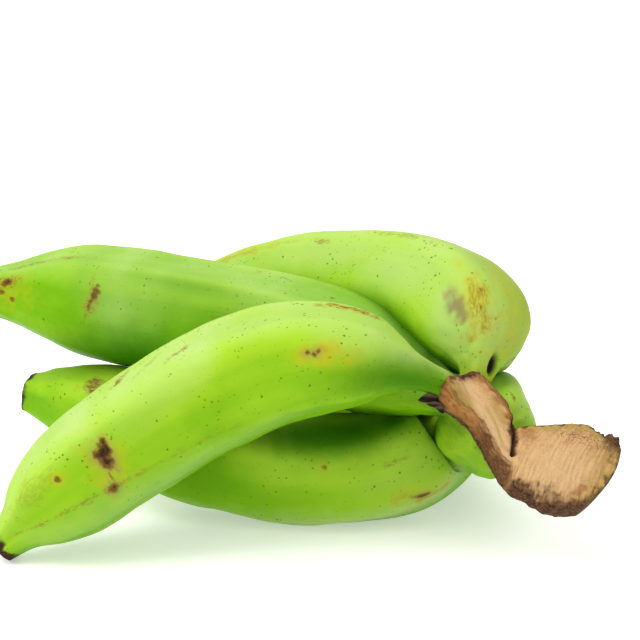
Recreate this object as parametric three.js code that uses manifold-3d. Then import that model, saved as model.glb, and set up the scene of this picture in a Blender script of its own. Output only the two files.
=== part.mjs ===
// A hand of green plantains: five fingers grown together on one cut crown.
// Millimetres, +Z up. It stands on z = 0 on the blossom end of the front finger and on the
// bellies of the lower and the under finger. +X is the long side, towards the crown.
import * as THREE from "three";
import { mergeVertices } from "three/addons/utils/BufferGeometryUtils.js";
import Module from "manifold-3d";

// ---- Driving dimensions (mm) ----
const CLEARANCE = 0.3; // gap left where two pieces press on one another
const RINGS = 34; // stations along a finger
const SIDES = 25; // facets round a finger
const RIDGES = 5; // a plantain is five-sided in section
const RIDGE_SHARPNESS = 7; // higher is more angular, lower is rounder
const ORIGIN = [-14.4, 28, 0]; // the point of the ground under the middle of the hand's box

// Radius along a finger, from the neck to the blossom end: [share of length, share of full radius].
const LONG_NECK = [
  [0, 0.27], [0.05, 0.24], [0.09, 0.24], [0.13, 0.32], [0.165, 0.48], [0.205, 0.7], [0.26, 0.84],
  [0.36, 0.94], [0.5, 1], [0.62, 1], [0.74, 0.97], [0.83, 0.88], [0.9, 0.67], [0.95, 0.4],
  [1, 0.26],
];
const MIDDLE_NECK = [
  [0, 0.34], [0.04, 0.33], [0.08, 0.42], [0.12, 0.58], [0.17, 0.76], [0.24, 0.9], [0.36, 0.98],
  [0.6, 1], [0.73, 0.99], [0.81, 0.94], [0.88, 0.76], [0.94, 0.54], [1, 0.38],
];
const SHORT_NECK = [
  [0, 0.26], [0.045, 0.26], [0.075, 0.42], [0.11, 0.76], [0.15, 0.93], [0.21, 0.99], [0.34, 1],
  [0.58, 1], [0.72, 0.93], [0.82, 0.77], [0.9, 0.54], [0.95, 0.41], [1, 0.36],
];
const SLIM_NECK = [
  [0, 0.3], [0.06, 0.32], [0.11, 0.42], [0.15, 0.66], [0.19, 0.86], [0.24, 0.97], [0.32, 1],
  [0.6, 1], [0.74, 0.96], [0.83, 0.86], [0.9, 0.72], [0.95, 0.56], [0.98, 0.44], [1, 0.38],
];
const BROAD_NECK = [
  [0, 0.2], [0.012, 0.42], [0.03, 0.66], [0.06, 0.88], [0.1, 0.98], [0.2, 1], [0.45, 0.99],
  [0.6, 0.98], [0.72, 0.92], [0.82, 0.77], [0.9, 0.54], [0.95, 0.41], [1, 0.36],
];

// Each finger: its centre line from the crown to the blossom end, its full radius, the way
// that one of its five flat sides faces, and the share of its length that a collar of the
// crown covers, where it has one.
const FINGERS = [
  {
    name: "finger_front", radius: 23.5, profile: LONG_NECK, facing: [0, -1, 0.1],
    collar: 0.055, color: 0x8fc63a,
    path: [[57, -35, 62.5], [47, -42, 70.8], [36, -48, 76.8], [16, -47, 81.5], [-12, -41, 79],
      [-44, -38, 65.5], [-76, -42, 46], [-104, -49, 26.4], [-129, -55, 5.3]],
  },
  {
    name: "finger_top", radius: 23.5, profile: SHORT_NECK, facing: [0, -0.77, 0.64],
    collar: 0.05, color: 0x97cc46,
    path: [[60, -35, 61], [64, -27, 73], [62, -10, 86], [50, 14, 92.5], [29, 37, 91],
      [-2, 54, 86], [-44, 75, 73], [-82, 88, 56]],
  },
  {
    name: "finger_left", radius: 24, profile: MIDDLE_NECK, facing: [0, -1, 0.1],
    collar: 0.06, color: 0x86bd3a,
    path: [[62, -29, 57.5], [46, -21, 61.5], [25, -4, 67], [-8, 13, 74], [-51, 28, 79],
      [-91, 38, 83], [-120, 44, 86], [-146, 48, 87]],
  },
  {
    name: "finger_under", radius: 19.8, profile: BROAD_NECK, facing: [0, 0, 1],
    color: 0x8cc442,
    path: [[65, -46, 47], [67.5, -30, 47.5], [68, -12, 46], [68, 10, 41], [63, 34, 31],
      [49, 64, 21], [20, 90, 19], [-16, 108, 21], [-42, 116, 24]],
  },
  {
    name: "finger_lower", radius: 22, profile: SLIM_NECK, facing: [0, -1, 0],
    color: 0x7fb82f,
    path: [[60, -34, 57], [57, -14, 50], [52, -1, 36], [33, -5, 26], [0, -8, 22],
      [-51, 4, 27], [-84, 22, 37], [-111, 34, 41], [-127, 40, 43]],
  },
];

// The crown: a slab cut from the bunch stalk. Its face looks forwards and up.
const CROWN_ORIGIN = [84, -55, 48];
const CROWN_FACING = [0.2, -0.74, 0.64];
const CROWN_THICKNESS = 13;
const CROWN_ROUNDING = 2.5;
const CROWN_OUTLINE = [
  [-29, 34], [-18, 35.5], [-10.5, 29], [-6, 20], [-3.8, 11], [3, 9.5], [14, 10], [26, 8],
  [37.5, 2], [36, -9], [29, -18], [19, -25.5], [8, -27], [-4, -21.5], [-11.5, -15], [-17, -1],
  [-23, 9.5], [-31, 17.5], [-34, 24], [-32.5, 30],
];
const CROWN_CORE = { center: [61, -37, 61], radii: [12, 12, 13] }; // where the necks grow together
const COLLAR_WALL = 1.2; // how far a collar stands out from the neck
const CROWN_COLOR = 0xc79a68;
const CROWN_ROUGHNESS = 0.85;
const PEEL_ROUGHNESS = 0.42;

const wasm = await Module();
wasm.setup();

/** The closed solid that a geometry's triangles bound. */
function solidOf(geometry) {
  const bare = geometry.clone();
  bare.deleteAttribute("normal");
  bare.deleteAttribute("uv");
  const merged = mergeVertices(bare, 1e-3);
  return new wasm.Manifold(
    new wasm.Mesh({
      numProp: 3,
      vertProperties: merged.attributes.position.array,
      triVerts: new Uint32Array(merged.index.array),
    }),
  );
}

/** The geometry of a solid's surface. */
function geometryOf(solid) {
  const surface = solid.getMesh();
  const geometry = new THREE.BufferGeometry();
  geometry.setAttribute("position", new THREE.BufferAttribute(surface.vertProperties, 3));
  geometry.setIndex(new THREE.BufferAttribute(surface.triVerts, 1));
  geometry.computeVertexNormals();
  return geometry;
}

/** How far a rounded five-sided section reaches at an angle from the middle of a flat side. */
function sectionReach(angle) {
  let sum = 0;
  for (let side = 0; side < RIDGES; side += 1) {
    const facing = Math.cos(angle - (side * 2 * Math.PI) / RIDGES);
    sum += Math.max(0, facing) ** RIDGE_SHARPNESS;
  }
  return sum ** (-1 / RIDGE_SHARPNESS);
}

/** The centre line of a finger. */
function centreLine(finger) {
  return new THREE.CatmullRomCurve3(finger.path.map((point) => new THREE.Vector3(...point)));
}

/** The direction square to the plane that a centre line bends in. */
function bendNormal(points) {
  const first = points[0];
  const middle = points[Math.floor(points.length / 2)];
  const last = points[points.length - 1];
  return middle.clone().sub(first).cross(last.clone().sub(middle)).normalize();
}

/** The inward and sideways directions across a curve at a share of its length. */
function across(curve, normal, share) {
  const along = curve.getTangentAt(share);
  const inward = normal.clone().cross(along).normalize();
  const sideways = along.clone().cross(inward);
  return { inward, sideways };
}

/** Lays a straight upright body along a finger's centre line and makes its section five-sided. */
function bend(geometry, finger) {
  const curve = centreLine(finger);
  const length = curve.getLength();
  const normal = bendNormal(curve.points);
  const middle = across(curve, normal, 0.5);
  const facing = new THREE.Vector3(...finger.facing);
  const flatSide = Math.atan2(facing.dot(middle.sideways), facing.dot(middle.inward));
  const position = geometry.attributes.position;
  for (let i = 0; i < position.count; i += 1) {
    const share = THREE.MathUtils.clamp(position.getY(i) / length, 0, 1);
    const angle = Math.atan2(-position.getZ(i), position.getX(i));
    const reach = Math.hypot(position.getX(i), position.getZ(i)) * sectionReach(angle - flatSide);
    const { inward, sideways } = across(curve, normal, share);
    const place = curve.getPointAt(share);
    place.addScaledVector(inward, reach * Math.cos(angle));
    place.addScaledVector(sideways, reach * Math.sin(angle));
    position.setXYZ(i, place.x, place.y, place.z);
  }
  return geometry;
}

/** One finger, closed at both ends: a spindle with its radius profile, bent along its line. */
function fingerGeometry(finger, grow = 0) {
  const length = centreLine(finger).getLength();
  const knots = finger.profile.map(
    ([share, radius]) => new THREE.Vector2(finger.radius * radius + grow, length * share),
  );
  const outline = new THREE.SplineCurve(knots).getPoints(RINGS);
  const bottom = new THREE.Vector2(0, 0);
  const top = new THREE.Vector2(0, length);
  return bend(new THREE.LatheGeometry([bottom, ...outline, top], SIDES), finger);
}

/** The crown's collar round the neck of a finger. */
function collarGeometry(finger, grow) {
  const height = finger.collar * centreLine(finger).getLength() + grow;
  const radius = finger.profile[0][1] * finger.radius + COLLAR_WALL + grow;
  const tube = new THREE.CylinderGeometry(radius, radius, height, SIDES, 4);
  return bend(tube.translate(0, height / 2, 0), finger);
}

/** The slab of the crown, in its own plane: across, up, and out of the cut face. */
function slabGeometry(grow = 0) {
  const points = CROWN_OUTLINE.map(([x, y]) => new THREE.Vector2(x, y));
  const outline = new THREE.Shape();
  outline.moveTo(points[0].x, points[0].y);
  outline.splineThru([...points.slice(1), points[0]]);
  const geometry = new THREE.ExtrudeGeometry(outline, {
    depth: CROWN_THICKNESS - 2 * CROWN_ROUNDING,
    curveSegments: 2,
    bevelThickness: CROWN_ROUNDING + grow,
    bevelSize: CROWN_ROUNDING,
    bevelOffset: grow - CROWN_ROUNDING,
    bevelSegments: 3,
  });
  return geometry.translate(0, 0, CROWN_ROUNDING - CROWN_THICKNESS);
}

/** Where the slab's plane lies. */
function slabPlacement() {
  const out = new THREE.Vector3(...CROWN_FACING).normalize();
  const sideways = new THREE.Vector3(0, 0, 1).cross(out).normalize();
  const up = out.clone().cross(sideways);
  return new THREE.Matrix4().makeBasis(sideways, up, out).setPosition(...CROWN_ORIGIN);
}

/** The crown: the slab, the core that the necks grow from, and the collars round the upper necks. */
function crownSolid(grow = 0) {
  const core = new THREE.SphereGeometry(1, 24, 16);
  const [x, y, z] = CROWN_CORE.radii;
  core.scale(x + grow, y + grow, z + grow);
  core.translate(...CROWN_CORE.center);
  const slab = slabGeometry(grow).applyMatrix4(slabPlacement());
  const collars = FINGERS.filter((finger) => finger.collar);
  return collars.reduce(
    (joined, finger) => joined.add(solidOf(collarGeometry(finger, grow))),
    solidOf(core).add(solidOf(slab)),
  );
}

/** Everything below the ground, to flatten the bellies that rest on it. */
function groundSolid() {
  return solidOf(new THREE.BoxGeometry(600, 600, 40).translate(0, 0, -20));
}

/** The largest body of a solid: cutting a finger clear of its neighbours can leave crumbs. */
function largestBody(solid) {
  const bodies = solid.decompose();
  return bodies.reduce((best, body) => (body.volume() > best.volume() ? body : best));
}

/** One named piece of the hand. */
function piece(name, solid, color, roughness) {
  const material = new THREE.MeshStandardMaterial({ color, roughness, metalness: 0 });
  const mesh = new THREE.Mesh(geometryOf(solid), material);
  mesh.name = name;
  return mesh;
}

/** The whole hand. Each finger gives way to the crown and to the fingers listed before it. */
function plantainHand() {
  const hand = new THREE.Group();
  hand.name = "plantain_hand";
  hand.position.set(...ORIGIN).negate();
  hand.add(piece("crown", crownSolid(), CROWN_COLOR, CROWN_ROUGHNESS));
  let taken = crownSolid(CLEARANCE).add(groundSolid());
  for (const finger of FINGERS) {
    const solid = largestBody(solidOf(fingerGeometry(finger)).subtract(taken));
    hand.add(piece(finger.name, solid, finger.color, PEEL_ROUGHNESS));
    taken = taken.add(solidOf(fingerGeometry(finger, CLEARANCE)));
  }
  return hand;
}

export default plantainHand();
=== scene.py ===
import math
from types import SimpleNamespace

import bpy
import numpy as np
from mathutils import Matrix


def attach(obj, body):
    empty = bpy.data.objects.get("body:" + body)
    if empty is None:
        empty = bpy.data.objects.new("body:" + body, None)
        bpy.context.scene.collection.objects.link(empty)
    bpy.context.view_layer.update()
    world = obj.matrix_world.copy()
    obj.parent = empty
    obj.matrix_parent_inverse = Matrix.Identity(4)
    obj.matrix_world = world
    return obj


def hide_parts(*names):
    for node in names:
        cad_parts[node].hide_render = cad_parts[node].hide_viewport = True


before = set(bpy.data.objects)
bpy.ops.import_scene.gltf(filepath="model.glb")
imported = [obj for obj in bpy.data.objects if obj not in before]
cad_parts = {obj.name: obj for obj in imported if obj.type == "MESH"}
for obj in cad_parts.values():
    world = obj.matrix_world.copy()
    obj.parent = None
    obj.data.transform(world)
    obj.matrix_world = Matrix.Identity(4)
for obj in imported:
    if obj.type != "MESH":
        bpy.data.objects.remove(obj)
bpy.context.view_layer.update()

bl_info = {
    "name": "Plantain hand",
    "version": (1, 0, 0),
    "blender": (4, 5, 0),
    "location": "3D View > Sidebar > Plantain",
    "description": "Builds a hand of green plantains, its cut crown and a plain studio",
    "category": "Object",
}

MM = 0.001
ORIGIN = np.array((-14.4, 28.0, 0.0))  # ground point under the middle of the hand, in mm
RIDGES = 5  # ridges round a finger, with a flat side between each two
RIDGE_SHARPNESS = 7
RIDGE_PAINT = (1.02, 1.085)  # reach of the section where a ridge's painted highlight begins and where it is full
CAP_ROWS = 14  # grid rows that close each end of a finger
SHADED_GAP, TOUCHING_GAP = 12, .5  # mm to another finger where its shade begins and where it is full
SPLIT_DEPTH = 1.6
END_RING, END_HOLLOW = .9, 1.6  # how far the dried end's rim stands out and its middle is sunk

# Radius along a finger: (share of its length, share of its full radius).
LONG_NECK = ((0, .27), (.05, .24), (.09, .24), (.13, .32), (.165, .48), (.205, .7), (.26, .84),
             (.36, .94), (.5, 1), (.62, 1), (.74, .97), (.83, .88), (.9, .67), (.95, .4), (1, .26))
MIDDLE_NECK = ((0, .34), (.04, .33), (.08, .42), (.12, .58), (.17, .76), (.24, .9), (.36, .98),
               (.6, 1), (.73, .99), (.81, .94), (.88, .76), (.94, .54), (1, .38))
SHORT_NECK = ((0, .26), (.045, .26), (.075, .42), (.11, .76), (.15, .93), (.21, .99), (.34, 1),
              (.58, 1), (.72, .93), (.82, .77), (.9, .54), (.95, .41), (1, .36))
SLIM_NECK = ((0, .3), (.06, .32), (.11, .42), (.15, .66), (.19, .86), (.24, .97), (.32, 1),
             (.6, 1), (.74, .96), (.83, .86), (.9, .72), (.95, .56), (.98, .44), (1, .38))
BROAD_NECK = ((0, .2), (.012, .42), (.03, .66), (.06, .88), (.1, .98), (.2, 1), (.45, .99), (.6, .98),
              (.72, .92), (.82, .77), (.9, .54), (.95, .41), (1, .36))

# Each finger in millimetres: its centre line from the crown to the blossom end, its full radius, the
# way that one flat side faces, and a seed for its own unevenness. Some also have how far the dark end
# reaches in (stub), how many degrees the painted ridges turn (twist), how much of the shade painted
# near its neighbours shows (hidden), how much of the painted light on its upper side it loses (dim)
# and how much of its pale coat, part whitish and part painted sheen, it keeps (powder).
FINGERS = {
    "finger_front": dict(
        radius=23.5, profile=LONG_NECK, facing=(0, -1, .1), seed=11, stub=2, twist=17,
        path=((57, -35, 62.5), (47, -42, 70.8), (36, -48, 76.8), (16, -47, 81.5), (-12, -41, 79),
              (-44, -38, 65.5), (-76, -42, 46), (-104, -49, 26.4), (-129, -55, 5.3))),
    "finger_top": dict(
        radius=23.5, profile=SHORT_NECK, facing=(0, -.77, .64), seed=23, hidden=.45,
        path=((60, -35, 61), (64, -27, 73), (62, -10, 86), (50, 14, 92.5), (29, 37, 91),
              (-2, 54, 86), (-44, 75, 73), (-82, 88, 56))),
    "finger_left": dict(
        radius=24, profile=MIDDLE_NECK, facing=(0, -1, .1), seed=37, hidden=.6, dim=1.25, powder_sheen=.6,
        path=((62, -29, 57.5), (46, -21, 61.5), (25, -4, 67), (-8, 13, 74), (-51, 28, 79),
              (-91, 38, 83), (-120, 44, 86), (-146, 48, 87))),
    "finger_under": dict(
        radius=19.8, profile=BROAD_NECK, facing=(0, 0, 1), seed=41, hidden=.5, dim=.25, powder_sheen=.6,
        path=((65, -46, 47), (67.5, -30, 47.5), (68, -12, 46), (68, 10, 41), (63, 34, 31),
              (49, 64, 21), (20, 90, 19), (-16, 108, 21), (-42, 116, 24))),
    "finger_lower": dict(
        radius=22, profile=SLIM_NECK, facing=(0, -1, 0), seed=53, hidden=.2, dim=.35, powder_sheen=.12,
        path=((60, -34, 57), (57, -14, 50), (52, -1, 36), (33, -5, 26), (0, -8, 22),
              (-51, 4, 27), (-84, 22, 37), (-111, 34, 41), (-127, 40, 43))),
}

# Marks on the peel: (share of length, degrees round from the middle of the facing flat side,
# half length and half width in mm, turn in degrees, strength).
SCABS = {
    "finger_front": (
        (.287, 12, 1.5, 1.3, 10, .85), (.28, 15, 1.1, 1.3, 0, .85), (.296, 15, 1.2, 1.2, 0, .8),
        (.262, 8, 1, .8, 0, .45), (.256, 92, 3, .9, 0, .6), (.737, 14, 3.8, 4.4, 20, 1),
        (.742, 4, 2.8, 3.8, 0, 1),
        (.735, 21, 1.6, 2, 0, .7), (.757, -20, 2.2, 2.1, 0, 1), (.75, -9, .9, 3, 0, .55),
        (.829, 20, 1.5, 1.1, 30, .7), (.525, 66, 2.6, .8, -30, .45), (.648, 78, 2.6, .8, -38, .5)),
    "finger_left": (
        (.314, 73, 1.5, 1, 0, .75), (.75, 26, 2, 1.2, 0, .7), (.752, 21, 2.4, 1.4, 20, .72),
        (.756, 16, 2, 1.5, 0, .75), (.759, 10, 1.8, 1.6, 0, .72), (.764, 3, 1.1, 1.8, 0, .65),
        (.768, -5, .8, 2.2, 0, .55),
        (.77, -12, .6, 1.6, 0, .45), (.943, 26, 2.6, 1.6, 0, .85),
        (.93, -4, 1.8, 1.2, 0, .7), (.955, 8, 2.2, 1.2, 0, .7)),
    "finger_top": ((.097, 143, 1, 1, 0, .8), (.122, 38, 1.3, 1, 0, .6), (.15, 40, 1, 1.4, 0, .55)),
    "finger_lower": ((.401, 21, 1.5, 1.4, 0, .6), (.264, -35, 4.2, 1.0, 25, .8)),
    "finger_under": ((.057, 41, .8, 3.0, 20, .6),),
}
HALOS = {
    "finger_front": (
        (.279, 13, 11, 4.4, 0, 1), (.25, 8, 6, 4.5, 0, .5), (.742, 3, 8, 12, 10, .8),
        (.72, 6, 6, 5, 0, .6), (.829, 20, 4, 3, 0, .5), (.256, 90, 9, 3.6, 0, .7)),
    "finger_top": ((.132, 35, 13, 8, 0, .9), (.15, 90, 30, 16, 0, .45), (.716, 29, 20, 3, 0, .5)),
    "finger_lower": ((.401, 21, 2.6, 2.2, 0, .5), (.264, -35, 12, 4, 25, .7)),
    "finger_left": ((.762, 12, 4, 8, 0, .4), (.94, 12, 12, 8, 0, .5)),
}
RUBS = {
    "finger_front": (
        (.641, 81, 7, 1.5, -38, 1), (.525, 66, 4.5, 1.3, -30, .9), (.582, 76, 8, .9, -34, .5),
        (.256, 92, 9, 2.2, 0, 1), (.88, 30, 9, 5, 0, .3), (.8, -17, 30, .7, 5, .6),
        (.6, -27, 30, .5, 5, .4)),
    "finger_top": (
        (.128, 36, 6.5, 4, 0, .5), (.74, 26, 12, 1.2, 0, .35), (.532, 24, 3, .9, 0, .7),
        (.355, 35, 12, 1.3, 0, .5), (.63, 28, 12, 1, 0, .22)),
    "finger_lower": ((.843, 48, 5, 4.6, 0, 1), (.294, 12, 6, .9, 10, .6),
                     (.26, -38, 10, 1.6, 25, .4)),
    "finger_left": ((.943, 26, 8, 2.4, 0, .6), (.89, 60, 16, 1.4, 0, .7), (.762, 12, 2.6, 7, 0, .6)),
    "finger_under": ((.3, 60, 12, 1.2, 0, .4),),
}
STAINS = {
    "finger_top": ((.138, 12, 8, 4, -12, 1),),
    "finger_front": ((.740, 8, 5.4, 7.6, 10, .85), (.757, -20, 3.6, 3.4, 0, .7),
                     (.287, 14, 3.6, 2.6, 0, .7)),
    "finger_left": ((.757, 14, 3.2, 6, 0, .4),),
    "finger_lower": ((.843, 48, 4.4, 4.4, 0, .65), (.264, -35, 6, 1.8, 25, .5)),
}
# The split: sunk in the relief and painted near-black as the shade inside it.
SLITS = {"finger_top": ((.063, 84, 2.7, 1.5, -24, 1),)}
# Painted shade: sides and crevices near other fingers painted a deeper green where shade falls.
SHADES = {
    "finger_front": ((.14, -18, 36, 12, 0, .85), (.66, -14, 40, 6, 5, .22), (.9, -8, 18, 14, 0, .2)),
    "finger_left": ((.64, -46, 56, 18, 0, 1), (.1, -40, 26, 9, 0, .3), (.57, 39, 50, 5, 0, .47)),
    "finger_lower": ((.385, 56, 40, 14, 0, 1), (.26, 54, 26, 12, 0, .85)),
    "finger_top": ((.15, 95, 36, 18, 0, .42),),
}
# Flat sides painted pale: partly a real whitish waxy coat, partly a painted sheen.
BLOOM_SHEENS = {
    "finger_front": ((.47, -62, 36, 8, 0, .35), (.62, -54, 36, 9, 4, .4), (.76, -44, 30, 9, 5, .4),
                     (.88, -38, 18, 7, 5, .35), (.36, 62, 34, 9, 0, .6)),
    "finger_left": ((.42, 72, 50, 9, 0, .35),),
    "finger_top": ((.5, 22, 44, 13, 0, .65), (.3, 2, 30, 13, 0, .75), (.12, 0, 14, 10, 0, .85)),
    "finger_lower": ((.34, -56, 62, 10, 0, .9), (.27, -4, 22, 9, 0, .2)),
}
# Each kind of mark: its table, how far noise frays it, and the part of its half size that is at
# full strength (below 0, only its very middle comes near that).
MARKS = {
    "scab": (SCABS, .5, .2), "halo": (HALOS, .6, 0), "rub": (RUBS, .9, .4),
    "stain": (STAINS, .45, .1), "slit": (SLITS, .1, .8), "close": (SHADES, .06, -.1),
    "bloom_sheen": (BLOOM_SHEENS, .1, .3),
}


# ---- Curves and noise ----

def smoothstep(low, high, value):
    """0 below low, 1 above high, and 3t^2 - 2t^3 between them."""
    t = np.clip((value - low) / (high - low), 0, 1)
    return t * t * (3 - 2 * t)


def centripetal_line(points, samples=200):
    """Centripetal Catmull-Rom line through points: each span is a cubic whose end slopes come
    from the neighbouring points, weighted by the square roots of the distances between them."""
    known = np.asarray(points, float)
    padded = np.vstack([2 * known[0] - known[1], known, 2 * known[-1] - known[-2]])
    gaps = np.sqrt(np.linalg.norm(np.diff(padded, axis=0), axis=1))[:, None]
    p0, p1, p2, p3 = padded[:-3], padded[1:-2], padded[2:-1], padded[3:]
    g0, g1, g2 = gaps[:-2], gaps[1:-1], gaps[2:]
    slope1 = ((p1 - p0) / g0 - (p2 - p0) / (g0 + g1) + (p2 - p1) / g1) * g1
    slope2 = ((p2 - p1) / g1 - (p3 - p1) / (g1 + g2) + (p3 - p2) / g2) * g1
    t = np.linspace(0, 1, samples, endpoint=False)[:, None, None]
    spans = (p1 + slope1 * t + (3 * (p2 - p1) - 2 * slope1 - slope2) * t**2
             + (2 * (p1 - p2) + slope1 + slope2) * t**3)
    return np.vstack([spans.transpose(1, 0, 2).reshape(-1, 3), known[-1]])


def uniform_line(points, samples=60):
    """Uniform Catmull-Rom line through points of any dimension: each span is a cubic whose end
    slopes are half the step between the two neighbouring points. The end points are repeated."""
    known = np.asarray(points, float)
    padded = np.vstack([known[0], known, known[-1]])
    p0, p1, p2, p3 = padded[:-3], padded[1:-2], padded[2:-1], padded[3:]
    t = np.linspace(0, 1, samples, endpoint=False)[:, None, None]
    spans = .5 * (2 * p1 + (p2 - p0) * t + (2 * p0 - 5 * p1 + 4 * p2 - p3) * t**2
                  + (3 * p1 - p0 - 3 * p2 + p3) * t**3)
    return np.vstack([spans.transpose(1, 0, 2).reshape(-1, known.shape[1]), known[-1]])


def along_line(line, stations):
    """Points of a line at given distances along it, by straight interpolation."""
    travelled = np.concatenate([[0], np.cumsum(np.linalg.norm(np.diff(line, axis=0), axis=1))])
    return np.stack([np.interp(stations, travelled, line[:, k]) for k in range(line.shape[1])], -1)


def line_length(line):
    """Sum of the straight steps along a line."""
    return float(np.linalg.norm(np.diff(line, axis=0), axis=1).sum())


def unit(vectors):
    """Vectors divided by their lengths."""
    vectors = np.asarray(vectors, float)
    return vectors / np.linalg.norm(vectors, axis=-1, keepdims=True)


def ripples(points, wavelength, seed, waves=20):
    """Smooth noise of about unit size: the mean of sine waves of one rough wavelength that run
    in random directions through space."""
    chance = np.random.default_rng(seed)
    directions = unit(chance.normal(size=(waves, points.shape[-1])))
    lengths = wavelength * chance.uniform(.6, 1.7, size=(waves, 1))
    phases = chance.uniform(0, 2 * np.pi, size=waves)
    swing = points @ (2 * np.pi * directions / lengths).T + phases
    return np.sin(swing).sum(-1) * math.sqrt(2 / waves)


# ---- Meshes ----

def grid_mesh(name, points, attributes):
    """Mesh of a grid that runs round in its second direction and is closed with a fan of
    triangles to the mean of the first and of the last row."""
    rows, columns = points.shape[:2]
    grid = np.arange(rows * columns).reshape(rows, columns)
    right = np.roll(grid, -1, axis=1)
    quads = np.stack([grid[:-1], right[:-1], right[1:], grid[1:]], -1).reshape(-1, 4)
    start, end = rows * columns, rows * columns + 1
    first = np.stack([np.full(columns, start), right[0], grid[0]], -1)
    last = np.stack([np.full(columns, end), grid[-1], right[-1]], -1)
    poles = np.stack([points[0].mean(0), points[-1].mean(0)])
    mesh = bpy.data.meshes.new(name)
    mesh.from_pydata(np.vstack([points.reshape(-1, 3), poles]).tolist(), [],
                     quads.tolist() + first.tolist() + last.tolist())
    mesh.polygons.foreach_set("use_smooth", np.ones(len(mesh.polygons), bool))
    for key, values in attributes.items():
        add_attribute(mesh, key, values)
    mesh.validate()
    mesh.update()
    return mesh


def add_attribute(mesh, name, values):
    """One number or one vector at each point of the grid, and its row's mean at each pole."""
    if values.ndim == 2:
        flat = np.concatenate([values.ravel(), [values[0].mean(), values[-1].mean()]])
        layer = mesh.attributes.new(name, "FLOAT", "POINT")
        layer.data.foreach_set("value", flat.astype(np.float32))
    else:
        flat = np.vstack([values.reshape(-1, 3), values[0].mean(0), values[-1].mean(0)])
        layer = mesh.attributes.new(name, "FLOAT_VECTOR", "POINT")
        layer.data.foreach_set("vector", flat.astype(np.float32).ravel())


def add_object(name, data):
    """Puts a mesh, lamp or camera in the scene."""
    made = bpy.data.objects.new(name, data)
    bpy.context.scene.collection.objects.link(made)
    return made


def add_piece(name, mesh, material, replaced):
    """Puts a mesh in the scene as a piece that rides on the hand's one body."""
    mesh.materials.append(material)
    piece = add_object(name, mesh)
    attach(piece, "root")
    if replaced:
        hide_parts(replaced)


# ---- Fingers ----

def section_reach(angle):
    """How far a rounded five-sided section reaches: the sum of the raised cosines to each flat
    side's middle, to the power of minus one over the sharpness."""
    sides = np.arange(RIDGES) * 2 * np.pi / RIDGES
    facing = np.maximum(0, np.cos(angle[..., None] - sides))
    return (facing**RIDGE_SHARPNESS).sum(-1) ** (-1 / RIDGE_SHARPNESS)


def finger_frame(finger):
    """Centre line, its length, and the normal of the plane that it bends in, which is the first
    half's direction crossed with the second half's."""
    line = centripetal_line(finger["path"])
    length = line_length(line)
    known = np.asarray(finger["path"], float)
    middle = known[len(known) // 2]
    normal = unit(np.cross(middle - known[0], known[-1] - middle))
    return line, length, normal


def across_line(line, normal, stations):
    """Place, tangent, inward and sideways directions at distances along a line. Inward is the
    bend plane's normal crossed with the tangent, and sideways the tangent crossed with that."""
    step = .4
    place = along_line(line, stations)
    tangent = unit(along_line(line, stations + step) - along_line(line, stations - step))
    inward = unit(np.cross(normal, tangent))
    return place, tangent, inward, np.cross(tangent, inward)


def flat_side_angle(finger, line, length, normal):
    """Angle, from inward towards sideways, of the flat side that faces the given way."""
    _, _, inward, sideways = across_line(line, normal, np.array([.5 * length]))
    facing = np.asarray(finger["facing"], float)
    return math.atan2(facing @ sideways[0], facing @ inward[0])


def finger_rows(finger, length, rows):
    """Stations along a finger and the radius at each. The neck's cut and the blossom end are
    closed: there the station hardly moves while the radius shrinks to nothing. Over the blossom
    end it follows half a sine, the ring, less a straight slope to the hollow."""
    knots = uniform_line(finger["profile"])
    share = np.linspace(0, 1, rows)
    radius = finger["radius"] * np.interp(share, knots[:, 0], knots[:, 1])
    shrink = np.linspace(.03, .97, CAP_ROWS)
    start = radius[0] * shrink
    end = radius[-1] * shrink[::-1]
    ring = np.sin(np.pi * np.clip(shrink[::-1] * 1.25 - .25, 0, 1))
    dish = END_RING * ring - END_HOLLOW * (1 - shrink[::-1])
    stations = np.concatenate([np.zeros(CAP_ROWS), share * length, length + dish])
    return stations, np.concatenate([start, radius, end])


def mark_mask(station, round_place, marks, length, noise, inner):
    """How much a point is inside any mark: its strength up to the inner share of its half sizes,
    0 from one and a half of them, and smooth between. The reach is the distance along and round
    the finger over the turned ellipse's half sizes, plus noise."""
    angle, radius = round_place
    total = np.zeros_like(station)
    for share, degrees, half_long, half_wide, turn, strength in marks:
        along = station - share * length
        over = ((angle - math.radians(degrees) + np.pi) % (2 * np.pi) - np.pi) * radius
        c, s = math.cos(math.radians(turn)), math.sin(math.radians(turn))
        reach = np.hypot((along * c + over * s) / half_long, (over * c - along * s) / half_wide)
        total = np.maximum(total, strength * smoothstep(1.5, inner, reach + noise))
    return total


def closeness(points, name):
    """1 where a point of a finger touches another finger, 0 where it is well clear: a smooth step
    of the least, over the other fingers' centre lines, of the distance less the radius there."""
    gap = np.full(points.shape[:-1], 1e3)
    for other, finger in FINGERS.items():
        if other == name:
            continue
        line, length, _ = finger_frame(finger)
        knots = uniform_line(finger["profile"])
        share = np.linspace(0, 1, 50)
        radius = finger["radius"] * np.interp(share, knots[:, 0], knots[:, 1])
        for place, size in zip(along_line(line, share * length), radius):
            gap = np.minimum(gap, np.linalg.norm(points - place, axis=-1) - size)
    return smoothstep(SHADED_GAP, TOUCHING_GAP, gap)


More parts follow.
